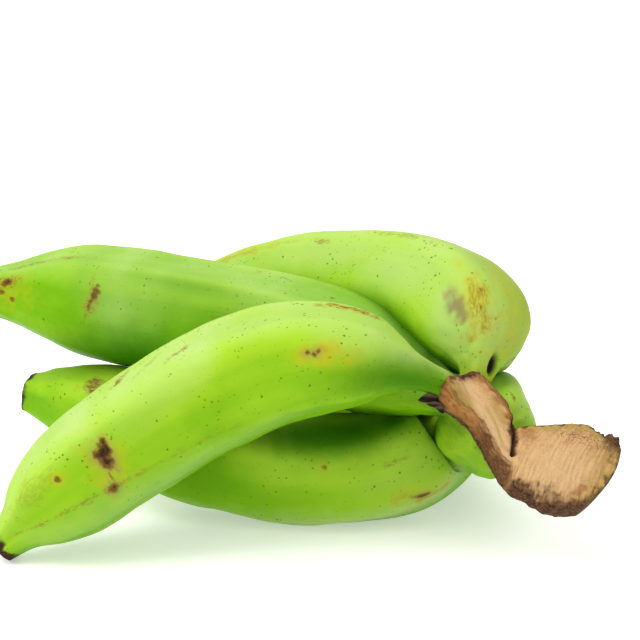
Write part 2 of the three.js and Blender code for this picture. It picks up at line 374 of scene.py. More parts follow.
def finger_surface(name, settings):
    """A finger's grid of points in metres and its marks. Each point is the centre line's place
    plus the radius, the five-sided reach and the small relief, along the direction that the
    angle makes between inward and sideways."""
    finger = FINGERS[name]
    seed, dim = finger["seed"], finger.get("dim", 0)
    line, length, normal = finger_frame(finger)
    stations, radius = finger_rows(finger, length, settings.finger_rows)
    on_line = np.clip(stations, 0, length)
    angle = np.arange(settings.finger_columns) * 2 * np.pi / settings.finger_columns
    place, tangent, inward, sideways = across_line(line, normal, on_line)
    place = place + tangent * (stations - on_line)[:, None]
    out = (np.cos(angle)[None, :, None] * inward[:, None]
           + np.sin(angle)[None, :, None] * sideways[:, None])
    turned = angle - flat_side_angle(finger, line, length, normal)
    straight = np.stack(np.broadcast_arrays(
        radius[:, None] * np.cos(turned), radius[:, None] * np.sin(turned), stations[:, None]), -1)
    share = np.clip(stations / length, 0, 1)[:, None] + 0 * angle
    fullness = np.clip(radius / finger["radius"], 0, 1)[:, None]
    twist = math.radians(finger.get("twist", 0)) * smoothstep(.4, .85, share)
    ridge = smoothstep(*RIDGE_PAINT, section_reach(turned[None, :] - twist))
    lumps = ripples(straight, 42, seed) * settings.lump_height / MM
    dents = ripples(straight, 13, seed + 1) * settings.dent_height / MM
    furrows = (ripples(straight * (1, 1, .12), 4.5, seed + 2)
               * (.28 * smoothstep(.2, .02, share) + .2 * smoothstep(.9, 1, share)))
    rough = .35 * ripples(straight, 6, seed + 3) + .2 * ripples(straight, 2.4, seed + 4)
    station = stations[:, None] + 0 * share
    round_place = (turned[None, :] + 0 * share, np.maximum(radius[:, None], 2) + 0 * share)
    marks = {kind: mark_mask(station, round_place, table.get(name, ()), length, fray * rough, inner)
             for kind, (table, fray, inner) in MARKS.items()}
    height = ((lumps + dents) * fullness + furrows + marks["scab"] * (.1 + .2 * rough)
              - SPLIT_DEPTH * marks["slit"])
    reach = radius[:, None] * section_reach(turned)[None] + height
    points = place[:, None] + out * reach[..., None]
    # Painted shade: near other fingers, as far as hidden lets it show, and at the listed shade marks.
    marks["close"] = np.maximum(closeness(points, name) * finger.get("hidden", 1), marks["close"])
    points = (points - ORIGIN) * MM
    points[..., 2] = np.maximum(points[..., 2], 0)
    # Painted light and shade: faces that point up are painted lighter and those that point down
    # darker, all less by dim. The pale coat's painted sheen follows the lit side.
    painted_light = out[..., 2] + .25 * ripples(straight, 60, seed + 5) - dim
    powder_sheen = smoothstep(.1, .95, painted_light + dim) * finger.get("powder_sheen", 1)
    from_end = (length - stations)[:, None] + 1.6 * rough + 1.2 * (ridge - .5) - finger.get("stub", 0)
    from_end[-CAP_ROWS:] = -1
    blossom = smoothstep(2.6, .4, from_end)
    return points, dict(straight=straight, share=share, ridge=ridge, **marks, powder_sheen=powder_sheen,
                        blossom=blossom, painted_light=painted_light)


# ---- Crown ----

CROWN_ORIGIN = np.array((84.0, -55.0, 48.0))
CROWN_FACING = (.2, -.74, .64)
# The cut face from the necks' end to the free end, in mm across and up its own plane: a point of
# its lower left edge, the point of its upper right edge that faces it, and how far the line
# between them bows out.
CROWN_EDGES = (
    ((-30, 33.2), (-17.4, 35.6), 1), ((-33.4, 27), (-12.8, 32.4), 0), ((-32.2, 22), (-9.7, 27.8), 0),
    ((-27.5, 18.2), (-7.4, 24), 0), ((-23.7, 14.3), (-5.4, 19.5), 0),
    ((-20.7, 10.4), (-4.4, 14.5), 0), ((-18.8, 5), (-4.1, 10.4), 0),
    ((-17.2, -.2), (-3.9, 7.8), 0), ((-15.8, -5), (-3, 9.4), 0),
    ((-13.8, -10.6), (1.5, 9.8), 0), ((-10.6, -16.4), (8, 9.2), 0), ((-5, -20.8), (15, 9.2), .5),
    ((0, -24.6), (22, 8.8), 1), ((5.2, -27), (27.3, 7.2), 1.8), ((10.5, -27.4), (31.5, 3.6), 2.8),
    ((14.5, -27.6), (36, 2.8), 3.6), ((18.2, -25.6), (38.3, -1.4), 3.4))
TONGUE_DEPTH = 8.5
LOBE_DEPTH = 11.0
BACK_DOME = 4.0
END_EASE = 2.2  # mm in which each end rounds off
END_ROWS = 15
SECTION_POWER, END_POWER = 4.5, 3.2  # how square the section and the ends are
# Heights and depths of the cut face's relief.
LOBE_DOME, END_LIP, LEFT_LIP, RIGHT_LIP = 3.0, .9, 1.2, .7
TONGUE_HOLLOW, CREASE_DEPTH, VALLEY_DEPTH, NECK_SWELLING = .5, 3.6, .8, 4
# Lines on the cut face that its colours follow, in mm across and up.
TONGUE_PALE = ((-21.6, 29), (-17.7, 20), (-13.7, 10.6), (-11.8, 4), (-10.8, -5))
TONGUE_OLIVE = ((-30, 31), (-28.5, 25.5), (-24, 20))
TONGUE_RIGHT_OLIVE = ((-11, 21), (-8.2, 12))
RIGHT_RIM = ((-18, 33.5), (-11.8, 29), (-8, 23), (-5.2, 15), (-4.8, 10))
CREASE = ((-5.0, 12), (-5.6, 7), (-7, 1.5), (-8.4, -2.5))
VALLEY = ((-24.3, 16.6), (-20.8, 10.5), (-18, 3.6), (-15.8, -2.4))
LOBE_OLIVE = ((18, 7.6), (27, 6), (32.5, 1), (35.4, -4.5), (33.2, -10.5), (27.4, -17.5), (19, -23.5))
LOBE_PIT = ((14, 4.5), (22, 1.4), (29.5, -2.5))
LOBE_RED = ((10.5, -22.5), (16.5, -20.5))


def crown_axes():
    """The cut face's own directions: across, up, and out of it."""
    out = unit(CROWN_FACING)
    across = unit(np.cross((0, 0, 1), out))
    return across, np.cross(out, across), out


def distance_to(points, line):
    """Distance from each point of a plane to a line of straight pieces: the least over the
    pieces of the distance to the nearest point of the piece."""
    line = np.asarray(line, float)
    start, step = line[:-1], np.diff(line, axis=0)
    offset = points[..., None, :] - start
    t = np.clip((offset * step).sum(-1) / (step**2).sum(-1), 0, 1)
    return np.linalg.norm(offset - t[..., None] * step, axis=-1).min(-1)


def hump(distance, width):
    """A bell: e to the minus squared distance over width."""
    return np.exp(-(distance / width) ** 2)


def crown_grid(rows, columns):
    """Places on the crown: across and up its plane, depth in front of it, and the two running
    parameters. Each row goes round a rounded box between its two edge points, and the last
    millimetres at each end shrink as the same rounded box does."""
    edges = uniform_line([(*a, *b, bow) for a, b, bow in CROWN_EDGES])
    middle = (edges[:, :2] + edges[:, 2:4]) / 2
    steps = np.concatenate([[0], np.cumsum(np.linalg.norm(np.diff(middle, axis=0), axis=1))])
    travelled = steps[-1]
    ends = END_EASE * (1 - np.cos(np.linspace(0, np.pi / 2, END_ROWS + 1)[1:]))
    wanted = np.concatenate([
        ends * .999, np.linspace(END_EASE, travelled - END_EASE, rows - 2 * END_ROWS),
        (travelled - ends * .999)[::-1]])
    nearest_end = np.clip(np.minimum(wanted, travelled - wanted) / END_EASE, 0, 1)
    shrink = (1 - (1 - nearest_end) ** END_POWER) ** (1 / END_POWER)
    edge = np.stack([np.interp(wanted, steps, edges[:, k]) for k in range(5)], -1)
    middle, half = (edge[:, :2] + edge[:, 2:4]) / 2, (edge[:, 2:4] - edge[:, :2]) / 2
    ahead = unit(np.gradient(middle, axis=0))
    turn = np.arange(columns) * 2 * np.pi / columns
    turn = turn + .18 * np.sin(2 * turn)
    box = (np.abs(np.cos(turn)) ** SECTION_POWER
           + np.abs(np.sin(turn)) ** SECTION_POWER) ** (-1 / SECTION_POWER)
    wide = (box * np.cos(turn))[None] * (.25 + .75 * shrink[:, None])
    deep = (box * np.sin(turn))[None] * shrink[:, None]
    flat = middle[:, None] + half[:, None] * wide[..., None]
    flat = flat + ahead[:, None] * (edge[:, 4:5] * (1 - wide**2))[..., None]
    thickness = TONGUE_DEPTH + (LOBE_DEPTH - TONGUE_DEPTH) * smoothstep(12, 30, wanted)[:, None]
    depth = thickness / 2 * (deep - 1) - BACK_DOME * smoothstep(.3, -.95, deep) * (1 - wide**2)
    width = np.linalg.norm(half, axis=-1)[:, None] + 0 * wide
    return flat, depth, wide, deep, wanted[:, None] + 0 * wide, width


def crown_fields(settings):
    """What the crown's relief and its paint share, on its grid. The lobe starts at a slanting
    line. The fibres' own coordinates hardly change along a fibre: on the lobe they fan out from
    its foot, on the tongue they run down its length."""
    flat, depth, wide, deep, travelled, width = crown_grid(
        settings.crown_rows, settings.crown_columns)
    u, v = flat[..., 0], flat[..., 1]
    lobe = smoothstep(-1.6, 1.6, u + 5 - .295 * (v - 10))
    lift = np.maximum(v + 22, -8)
    fan = u - .42 * lift - .0004 * lift**3
    grain = np.stack([lobe * fan + (1 - lobe) * wide * width,
                      lobe * v * .2 + (1 - lobe) * travelled * .16,
                      depth * (lobe * .2 + (1 - lobe) * .9)], -1)
    place = np.concatenate([flat, depth[..., None]], -1)
    rough = .5 * ripples(place, 7, 71) + .35 * ripples(place, 2.6, 72)
    return SimpleNamespace(
        flat=flat, depth=depth, wide=wide, deep=deep, travelled=travelled, width=width, u=u, v=v,
        lobe=lobe, tongue=1 - lobe, front=smoothstep(-.1, .75, deep), grain=grain, rough=rough,
        fibres=ripples(grain, .9, 73, 40), from_end=travelled.max() - travelled,
        crease=distance_to(flat, CREASE), valley=distance_to(flat, VALLEY),
        corner=smoothstep(27, 33, u) * smoothstep(-9, -2, v),
        neck_end=smoothstep(6.5, 1.5, travelled))


def crown_relief(c):
    """The cut face's places and depth with relief. The depth adds bells of the distance to the
    rims, a dome over the lobe, a sunk crease and valley, a swelling at the necks, and fibres.
    The sides move in and out by noise, most at the ragged corner and at the necks' end."""
    coarse = ripples(c.grain, 2.4, 74, 30)
    swelling = np.hypot((c.u + 28.5) / 5.5, (c.v - 27) / 6.5)
    dome = np.clip(1 - ((c.u - 12) / 27) ** 2 - ((c.v + 9) / 24) ** 2, 0, 1)
    height = LOBE_DOME * dome**.8 * c.lobe
    lips = LEFT_LIP * hump(c.wide + .8, .2) + RIGHT_LIP * hump(c.wide - .85, .2)
    height = height + c.tongue * (lips - TONGUE_HOLLOW * hump(c.wide, .5))
    height = height - CREASE_DEPTH * hump(c.crease, 1.0) - VALLEY_DEPTH * hump(c.valley, 1.0)
    height = height + NECK_SWELLING * hump(swelling, 1) + .035 * c.fibres + .12 * coarse
    height = height + END_LIP * c.lobe * hump(c.from_end - 1.5, 1.8)
    side = .3 * c.rough + c.corner * (.6 * ripples(c.flat, 3.2, 75) + .28 * ripples(c.flat, 1.5, 76))
    side = side + c.neck_end * .7 * ripples(c.flat, 3, 77)
    side = side * np.abs(c.wide) / np.hypot(c.wide, c.deep).clip(.2)
    outward = (c.flat - c.flat.mean(1, keepdims=True)) / c.width[..., None]
    depth = c.depth + c.front * height + (1 - c.front) * .25 * c.rough * np.sign(c.deep)
    return c.flat + outward * side[..., None], depth


def crown_paint(c, flat):
    """The crown's masks: each is the largest of its places, and each place fades over a distance
    that noise frays."""
    ragged = .8 * c.rough + .3 * c.fibres
    inset = np.minimum((1 - np.abs(c.wide)) * c.width, c.from_end)
    wall = smoothstep(.8, .45, c.deep)
    foot = hump((c.u - 6) / 13, 1)

    def fade(far, full, distance, fray=1.0):
        return smoothstep(far, full, distance + fray * ragged)

    def near(line, far, full, fray=1.0):
        return fade(far, full, distance_to(flat, line), fray)

    dark = np.maximum.reduce([
        # Painted shadow in the crease and in the hollow beside it.
        fade(1.6, .3, c.crease, .4),
        fade(1.3, .5, np.hypot((c.u + 6.3) / 2.0, (c.v - 8) / 5), .3) * c.tongue,
        # The lobe's lower band and side wall in painted shade, then its outline, its far end and its
        # ragged corner.
        fade(4.4 + 4.2 * foot, 1, inset, 2) * smoothstep(0, -.3, c.wide) * c.lobe * .92,
        wall * c.lobe * .9,
        fade(2.0, .8, inset, .8) * c.lobe,
        .85 * fade(4.4, 1.6, c.from_end, 1.6) * smoothstep(-16, -4, c.v) * c.lobe,
        c.corner * fade(9, 4, inset, 2.6),
        .9 * c.corner * fade(29.5, 34, c.u, 1.6),
        # The tongue's right outline, its end at the necks, a line on its left, its wall and foot.
        .85 * c.tongue * fade(1.4, .5, inset, .5) * (c.wide > 0),
        .9 * c.neck_end * smoothstep(.2, .7, .5 + .5 * c.rough),
        fade(5.5, 2.5, c.travelled, 1.2) * smoothstep(-.4, .1, c.wide) * c.front,
        .5 * c.tongue * hump(c.wide + .6 + .07 * ragged, .06) * c.front,
        c.tongue * fade(.12, -.3, c.deep, .12),
        .8 * c.tongue * smoothstep(21, 31, c.travelled) * fade(-.6, -.85, c.wide, .12)])
    russet = np.maximum.reduce([
        c.tongue * wall, c.tongue * fade(-.5, -.84, c.wide, .16),
        near(RIGHT_RIM, 3.8, .9, 1.1), .7 * near(LOBE_RED, 2.8, .4), .8 * fade(2.1, .3, c.valley, .5),
        .6 * fade(5, 1, np.hypot(c.u + 1, (c.v - 5) * .8)) * c.lobe])
    olive = np.maximum.reduce([
        near(TONGUE_OLIVE, 6, .8), .7 * near(TONGUE_RIGHT_OLIVE, 3.4, .5),
        near(LOBE_OLIVE, 5, .8, 1.4),
        .55 * c.tongue * smoothstep(.1, .9, ripples(c.grain, 3.4, 78)),
        .9 * c.lobe * fade(8, 1.5, inset, 1.4) * (c.wide > 0),
        .8 * c.lobe * fade(13, 2, c.from_end, 2)])
    lobe_middle = .75 * c.lobe * smoothstep(1.2, .3, np.hypot((c.u - 8) / 19, (c.v + 12) / 14))
    pale = np.maximum(near(TONGUE_PALE, 4.6, 1.0, .6), lobe_middle)
    return dict(grain=c.grain, dark=dark, russet=russet, olive=olive * c.front, pale=pale * c.front,
                pit=near(LOBE_PIT, 7, 1) * c.front)


def crown_surface(settings):
    """The crown's points in metres and its masks: the relief's places across, up and out of the
    cut face."""
    c = crown_fields(settings)
    flat, depth = crown_relief(c)
    across, up, out = crown_axes()
    points = CROWN_ORIGIN + flat[..., :1] * across + flat[..., 1:] * up + depth[..., None] * out
    return (points - ORIGIN) * MM, crown_paint(c, flat)


SCRAP_BASE = (-31.5, 22.8)
SCRAP_DEPTH = -4.0
SCRAP_LENGTH = 10.0
SCRAP_HALF_WIDTH = 4.6
SCRAP_HALF_THICKNESS = .7
SCRAP_COLUMNS = 40


def scrap_surface(settings):
    """A withered scrap of leaf at the crown's left: a thin tapering tongue in the plane of the
    cut face, whose section is a flat ellipse, closed by square roots at both ends. Its line
    sinks and rises as a sine, wrinkled by noise that runs along it."""
    t = np.linspace(0, 1, settings.scrap_rows)[:, None]
    turn = (np.arange(SCRAP_COLUMNS) * 2 * np.pi / SCRAP_COLUMNS)[None]
    closing = np.sqrt(np.clip(t / .04, 0, 1)) * np.sqrt(np.clip((1 - t) / .03, 0, 1))
    half = (SCRAP_HALF_WIDTH * (1 - t) ** .8 + .25) * closing + .02
    u = SCRAP_BASE[0] - SCRAP_LENGTH * t + 0 * turn
    v = SCRAP_BASE[1] + 2.6 * t + half * np.cos(turn)
    crumple = ripples(np.stack([u * .25, v], -1), 2.0, 91)
    depth = (SCRAP_DEPTH + 1.5 * np.sin(2.6 * t) + .7 * crumple
             + np.minimum(half, SCRAP_HALF_THICKNESS) * np.sin(turn))
    across, up, out = crown_axes()
    points = CROWN_ORIGIN + u[..., None] * across + v[..., None] * up + depth[..., None] * out
    return (points - ORIGIN) * MM, dict(wither=crumple)


# ---- Materials ----

class Nodes:
    """Short calls for making the nodes and links of one material or world."""

    def __init__(self, owner, shader="Principled BSDF"):
        self.owner = owner
        owner.use_nodes = True
        self.tree = owner.node_tree
        self.shader = self.tree.nodes[shader]

    def new(self, kind, **settings):
        node = self.tree.nodes.new("ShaderNode" + kind)
        for key, value in settings.items():
            setattr(node, key, value)
        return node

    def link(self, source, socket):
        self.tree.links.new(source, socket)

    def put(self, socket, value):
        """Feeds a socket from another, or sets it to a number or to a three-part colour."""
        if isinstance(value, bpy.types.NodeSocket):
            self.link(value, socket)
        else:
            socket.default_value = value if isinstance(value, (int, float)) else (*value, 1.0)

    def set_shader(self, **constants):
        """Sets the shader's own sockets, whose names are written with _ for a space."""
        for key, value in constants.items():
            self.shader.inputs[key.replace("_", " ")].default_value = value

    def attribute(self, name, output="Fac"):
        node = self.new("Attribute", attribute_name=name)
        return node.outputs[output]

    def math(self, operation, a, b=0.0, clamp=False):
        node = self.new("Math", operation=operation, use_clamp=clamp)
        self.put(node.inputs[0], a)
        self.put(node.inputs[1], b)
        return node.outputs[0]

    def times(self, a, b):
        return self.math("MULTIPLY", a, b)

    def plus(self, a, b, clamp=False):
        return self.math("ADD", a, b, clamp)

    def ramp(self, value, low, high, low_to=0.0, high_to=1.0):
        node = self.new("MapRange", interpolation_type="SMOOTHSTEP")
        self.put(node.inputs["Value"], value)
        ends = {"From Min": low, "From Max": high, "To Min": low_to, "To Max": high_to}
        for key, number in ends.items():
            node.inputs[key].default_value = number
        return node.outputs[0]

    def mix(self, amount, first, second):
        node = self.new("Mix", data_type="RGBA")
        self.put(node.inputs[0], amount)
        self.put(node.inputs[6], first)
        self.put(node.inputs[7], second)
        return node.outputs[2]

    def layers(self, base, coats):
        """A colour with coats over it, each an amount and the coat's colour, the lowest first."""
        for amount, coat in coats:
            base = self.mix(amount, base, coat)
        self.link(base, self.shader.inputs["Base Color"])

    def scaled(self, vector, scale):
        node = self.new("Mapping")
        self.link(vector, node.inputs["Vector"])
        node.inputs["Scale"].default_value = scale
        return node.outputs[0]

    def noise(self, vector, scale, detail=3.0, roughness=.5):
        node = self.new("TexNoise")
        self.link(vector, node.inputs["Vector"])
        node.inputs["Scale"].default_value = scale
        node.inputs["Detail"].default_value = detail
        node.inputs["Roughness"].default_value = roughness
        return node.outputs["Fac"]

    def shaken(self, vector, scale, distance):
        """A vector moved a little by noise, which makes the marks that read it irregular."""
        node = self.new("TexNoise")
        self.link(vector, node.inputs["Vector"])
        node.inputs["Scale"].default_value = scale
        shift = self.new("VectorMath", operation="MULTIPLY_ADD")
        self.link(node.outputs["Color"], shift.inputs[0])
        shift.inputs[1].default_value = (distance,) * 3
        self.link(vector, shift.inputs[2])
        return shift.outputs[0]

    def spots(self, vector, scale, size, share):
        """Round specks in some of the cells of a cell pattern: 1 inside a speck."""
        node = self.new("TexVoronoi")
        self.link(vector, node.inputs["Vector"])
        node.inputs["Scale"].default_value = scale
        split = self.new("SeparateColor")
        self.link(node.outputs["Color"], split.inputs[0])
        chosen = self.math("LESS_THAN", split.outputs[0], share)
        reach = self.times(self.plus(split.outputs[1], .5), size)
        inside = self.ramp(self.math("DIVIDE", node.outputs["Distance"], reach), 1.0, .45)
        return self.times(inside, chosen)

    def bump(self, height, strength, distance):
        """Relief of the shading alone, from a height."""
        node = self.new("Bump")
        node.inputs["Strength"].default_value = strength
        node.inputs["Distance"].default_value = distance
        self.link(height, node.inputs["Height"])
        self.link(node.outputs[0], self.shader.inputs["Normal"])


def peel_material(settings):
    """Waxy green peel, in layers from below: mottled and streaked green with a painted highlight on
    the ridges and painted light and shade from the upper side to the underside, a pale coat that is
    part whitish and part painted sheen, specks, a yellower neck, painted shade between the fingers,
    halos, stains, rubbed ridges, scabs, the split's painted shade, and a black-brown blossom end."""
    nodes = Nodes(bpy.data.materials.new("Unripe peel"))
    skin = nodes.attribute("straight", "Vector")
    cloud = nodes.noise(skin, .03, 4, .55)
    streak = nodes.noise(nodes.scaled(skin, (1, 1, .06)), .22, 3, .5)
    grain = nodes.noise(nodes.scaled(skin, (1, 1, .35)), 1.3, 4, .6)
    tone = nodes.plus(nodes.ramp(cloud, .32, .68, -.12, .2), nodes.ramp(streak, .3, .7, -.07, .09))
    # Ridges painted lighter: a painted highlight.
    tone = nodes.plus(tone, nodes.times(nodes.attribute("ridge"), .26))
    # Painted light: the upper side lighter, the underside darker.
    tone = nodes.plus(tone, nodes.ramp(nodes.attribute("painted_light"), -.95, .7, -.02, .82), clamp=True)
    # A pale coat, part whitish and part painted sheen, on the lit side and the listed flat sides.
    powder_sheen = nodes.times(nodes.ramp(nodes.noise(skin, .035, 3), .38, .66, .38, .8),
                         nodes.attribute("powder_sheen"))
    powder_sheen = nodes.math("MAXIMUM", powder_sheen, nodes.times(nodes.attribute("bloom_sheen"), .7))
    shaken = nodes.shaken(skin, .9, 1.1)
    speck = nodes.spots(shaken, .19, .1, .9)
    crowd = nodes.ramp(nodes.noise(skin, .05, 2), .42, .6, .2, 1)
    fine = nodes.times(nodes.spots(shaken, .45, .19, .95), crowd)
    neck = nodes.ramp(nodes.plus(nodes.attribute("share"), nodes.times(streak, .04)), .1, .045)
    halo = nodes.times(nodes.attribute("halo"),
                       nodes.ramp(nodes.noise(skin, .5, 4, .6), .25, .7, .5, .95))
    rub = nodes.times(nodes.attribute("rub"), nodes.ramp(grain, .36, .6))
    patch = nodes.math("SUBTRACT", nodes.noise(skin, 1.1, 4, .65), .5)
    scab = nodes.plus(nodes.attribute("scab"), nodes.times(patch, .7))
    blossom = nodes.attribute("blossom")
    nodes.layers(nodes.mix(tone, settings.deep_green, settings.lime_green), (
        (powder_sheen, settings.pale_sheen_green),
        (nodes.times(speck, .85), settings.speck_green),
        (nodes.times(fine, .8), settings.speck_green),
        (nodes.times(neck, .35), settings.neck_yellow),
        # Painted shade: deep green where shade falls between the fingers.
        (nodes.ramp(nodes.attribute("close"), 0, .97, 0, .95), settings.painted_shade_green),
        (halo, settings.halo_yellow),
        (nodes.times(nodes.attribute("stain"), .8), settings.stain_brown),
        (rub, settings.rub_brown),
        (nodes.ramp(scab, .2, .65, 0, .85), settings.scab_brown),
        (nodes.ramp(scab, .55, 1.1), settings.scab_dark),
        # Painted shade inside the split.
        (nodes.attribute("slit"), settings.slit_shade),
        (blossom, nodes.mix(nodes.ramp(grain, .3, .7), settings.scab_dark, settings.blossom_brown))))
    dull = nodes.math("MAXIMUM", nodes.math("MAXIMUM", nodes.attribute("scab"), blossom), rub)
    nodes.link(nodes.plus(nodes.ramp(grain, .2, .8, .4, .54), nodes.times(dull, .35), clamp=True),
               nodes.shader.inputs["Roughness"])
    nodes.set_shader(Specular_IOR_Level=.06, Subsurface_Weight=.06, Subsurface_Radius=(.3, 1, .1),
                     Subsurface_Scale=.004)
    relief = nodes.plus(nodes.times(grain, .5), nodes.times(streak, .6))
    nodes.bump(nodes.plus(relief, nodes.times(speck, -.25)), .35, .0006)
    return nodes.owner


def crown_material(settings):
    """Dried stalk: pale tan fibres on the cut face, russet and olive at its edges, near-black on its
    ragged rims, and near-black painted shade in its crease and on the lobe's lower band and side
    wall."""
    nodes = Nodes(bpy.data.materials.new("Dried crown"))
    grain = nodes.attribute("grain", "Vector")
    fibre = nodes.noise(grain, 2.4, 4, .6)
    broad = nodes.noise(grain, .35, 4, .6)
    strand = nodes.noise(grain, 4.5, 2, .6)
    place = nodes.new("TexCoord").outputs["Object"]
    speckle = nodes.noise(place, 900, 3, .6)
    cloud = nodes.noise(place, 160, 3, .5)
    tone = nodes.plus(nodes.times(fibre, .34), nodes.times(broad, .4))
    tone = nodes.plus(tone, nodes.times(nodes.plus(speckle, cloud), .6))
    pale = nodes.times(nodes.attribute("pale"), nodes.ramp(fibre, .25, .6, .35, .85))
    pit = nodes.times(nodes.attribute("pit"),
                      nodes.ramp(nodes.noise(place, 1300, 3, .6), .5, .62, 0, .8))
    olive = nodes.times(nodes.attribute("olive"), nodes.ramp(fibre, .25, .6, .35, .9))
    streaks = nodes.ramp(nodes.noise(grain, 1.2, 4, .65), .38, .58, .1, 1)
    russet = nodes.mix(streaks, settings.rim_brown, settings.russet_brown)
    # Dark rims, also laid as painted shade in the crease and on the lobe's lower band and side wall.
    rim_and_shade = nodes.mix(nodes.ramp(speckle, .35, .68), settings.rim_and_shade_dark, settings.rim_brown)
    nodes.layers(nodes.mix(nodes.ramp(tone, .7, 1.14), settings.fibre_brown, settings.fibre_tan), (
        (pale, settings.fibre_cream),
        (pit, settings.rim_brown),
        (nodes.ramp(strand, .57, .7, 0, .4), settings.rim_brown),
        (olive, settings.olive_edge),
        (nodes.times(nodes.attribute("russet"), .9), russet),
        (nodes.attribute("dark"), rim_and_shade)))
    nodes.link(nodes.ramp(fibre, .3, .7, .62, .85), nodes.shader.inputs["Roughness"])
    nodes.set_shader(Specular_IOR_Level=.1)
    nodes.bump(nodes.plus(fibre, nodes.times(pit, -.3)), .2, .0004)
    return nodes.owner


def scrap_material(settings):
    """Withered leaf: near-black brown with greyish creases."""
    nodes = Nodes(bpy.data.materials.new("Withered leaf"))
    wither = nodes.ramp(nodes.attribute("wither"), -.6, 1.3)
    nodes.link(nodes.mix(wither, settings.scrap_dark, settings.scrap_grey),
               nodes.shader.inputs["Base Color"])
    nodes.set_shader(Roughness=.8, Specular_IOR_Level=.1)
    return nodes.owner


def floor_material(settings):
    """Plain pale matt floor that glows a little, as a lit table does."""
    nodes = Nodes(bpy.data.materials.new("Studio floor"))
    nodes.put(nodes.shader.inputs["Base Color"], settings.floor_colour)
    nodes.set_shader(Emission_Color=(1, 1, 1, 1), Emission_Strength=settings.floor_glow, Roughness=.9)
    return nodes.owner


# ---- Settings ----

def count_property(name, description, default):
    return bpy.props.IntProperty(name=name, description=description, default=default)


def number_property(name, description, default, **kind):
    return bpy.props.FloatProperty(name=name, description=description, default=default, **kind)


def size_property(name, description, default):
    return number_property(name, description, default, unit="LENGTH", precision=5)


def vector_property(name, description, default, subtype="TRANSLATION", **limits):
    return bpy.props.FloatVectorProperty(name=name, description=description, default=default,
                                         subtype=subtype, **limits)


def colour_property(name, description, default):
    return vector_property(name, description, default, "COLOR", min=0, max=1)


class PLANTAIN_PG_peel(bpy.types.PropertyGroup):
    """Shape detail and colours of the fingers."""

    finger_rows: count_property("Rows", "Grid rows along a finger", 300)
    finger_columns: count_property("Columns", "Grid columns round a finger", 160)
    lump_height: size_property("Lumps", "Height of the broad unevenness", .00035)
    dent_height: size_property("Dents", "Height of the small unevenness", .00008)
    deep_green: colour_property("Deep green", "Darker peel", (.15, .37, .003))
    lime_green: colour_property("Lime green", "Lighter peel", (.32, .54, .018))
    # Painted sheen over a whitish coat.
    pale_sheen_green: colour_property("Pale green", "Powdery greyish peel", (.43, .57, .19))
    # Painted shade between the fingers.
    painted_shade_green: colour_property("Crevice green", "Peel where two fingers meet", (.035, .17, .0002))
    stain_brown: colour_property("Stain brown", "Smooth bruises", (.21, .15, .08))
    speck_green: colour_property("Speck green", "Specks in the peel", (.055, .12, .004))
    neck_yellow: colour_property("Neck yellow", "Peel where it joins the crown", (.3, .43, .03))
    halo_yellow: colour_property("Halo yellow", "Peel round a bruise", (.47, .38, .012))
    rub_brown: colour_property("Rub brown", "Rubbed ridges", (.2, .1, .018))
    # Painted shade inside the split.
    slit_shade: colour_property("Slit dark", "Depth of a split in the peel", (.008, .006, .003))
    scab_dark: colour_property("Scab dark", "Darkest scabs", (.028, .012, .007))
    scab_brown: colour_property("Scab brown", "Lighter scabs", (.15, .06, .012))
    blossom_brown: colour_property("Blossom brown", "Dried blossom end", (.06, .036, .023))


class PLANTAIN_PG_crown(bpy.types.PropertyGroup):
    """Shape detail and colours of the crown."""

    crown_rows: count_property("Rows", "Grid rows down the crown", 300)
    crown_columns: count_property("Columns", "Grid columns round the crown", 280)
    fibre_cream: colour_property("Fibre cream", "Palest fibres of the cut face", (.6, .4, .2))
    fibre_tan: colour_property("Fibre tan", "Usual fibres of the cut face", (.57, .345, .152))
    fibre_brown: colour_property("Fibre brown", "Darker fibres of the cut face", (.41, .235, .105))
    olive_edge: colour_property("Olive edge", "Edges that are still a little green", (.33, .22, .045))
    russet_brown: colour_property("Russet brown", "Dried skin round the tongue", (.34, .135, .03))
    rim_brown: colour_property("Rim brown", "Dark skin round the crown", (.14, .06, .024))
    # Dark rims and the painted shade in the crown's crease and lower band.
    rim_and_shade_dark: colour_property("Rim dark", "Darkest edges", (.035, .016, .01))
    scrap_rows: count_property("Scrap rows", "Grid rows along the scrap of leaf", 80)
    scrap_dark: colour_property("Scrap dark", "Withered leaf", (.03, .017, .011))
    scrap_grey: colour_property("Scrap grey", "Creases of the withered leaf", (.1, .07, .045))


class PLANTAIN_PG_stage(bpy.types.PropertyGroup):
    """Floor, lights and camera."""

    floor_colour: colour_property("Floor", "Colour of the floor", (.8, .8, .75))
    floor_glow: number_property("Floor glow", "Light that the floor gives off", .38)
    floor_width: size_property("Floor width", "Side of the square floor", 40.0)
    level_light: number_property("Level light", "Strength of the surroundings", .3)
    top_light: number_property("Top light", "Strength of the light overhead", 1.6)
    key_light: number_property("Key light", "Power of the main lamp", 7.0, unit="POWER")
    key_place: vector_property("Key place", "Where the main lamp hangs", (-.7, -.35, .9))
    camera_lens: number_property("Lens", "Focal length in millimetres", 121.5)
    camera_distance: size_property("Camera distance", "From the camera to the point it looks at", .9)
    camera_tilt: number_property("Camera tilt", "Angle above the level", math.radians(14),
                                 subtype="ANGLE")
    camera_aim: vector_property("Aim", "Point that the camera looks at", (.0144, -.028, .086))


# ---- Operators ----

class PLANTAIN_OT_fingers(bpy.types.Operator):
    """Build the five fingers"""

    bl_idname = "plantain.fingers"
    bl_label = "Fingers"

    def execute(self, context):
        settings = context.scene.plantain_peel
        material = peel_material(settings)
        for name in FINGERS:
            mesh = grid_mesh(name + "_peel", *finger_surface(name, settings))
            add_piece(name + "_peel", mesh, material, name)
        return {"FINISHED"}


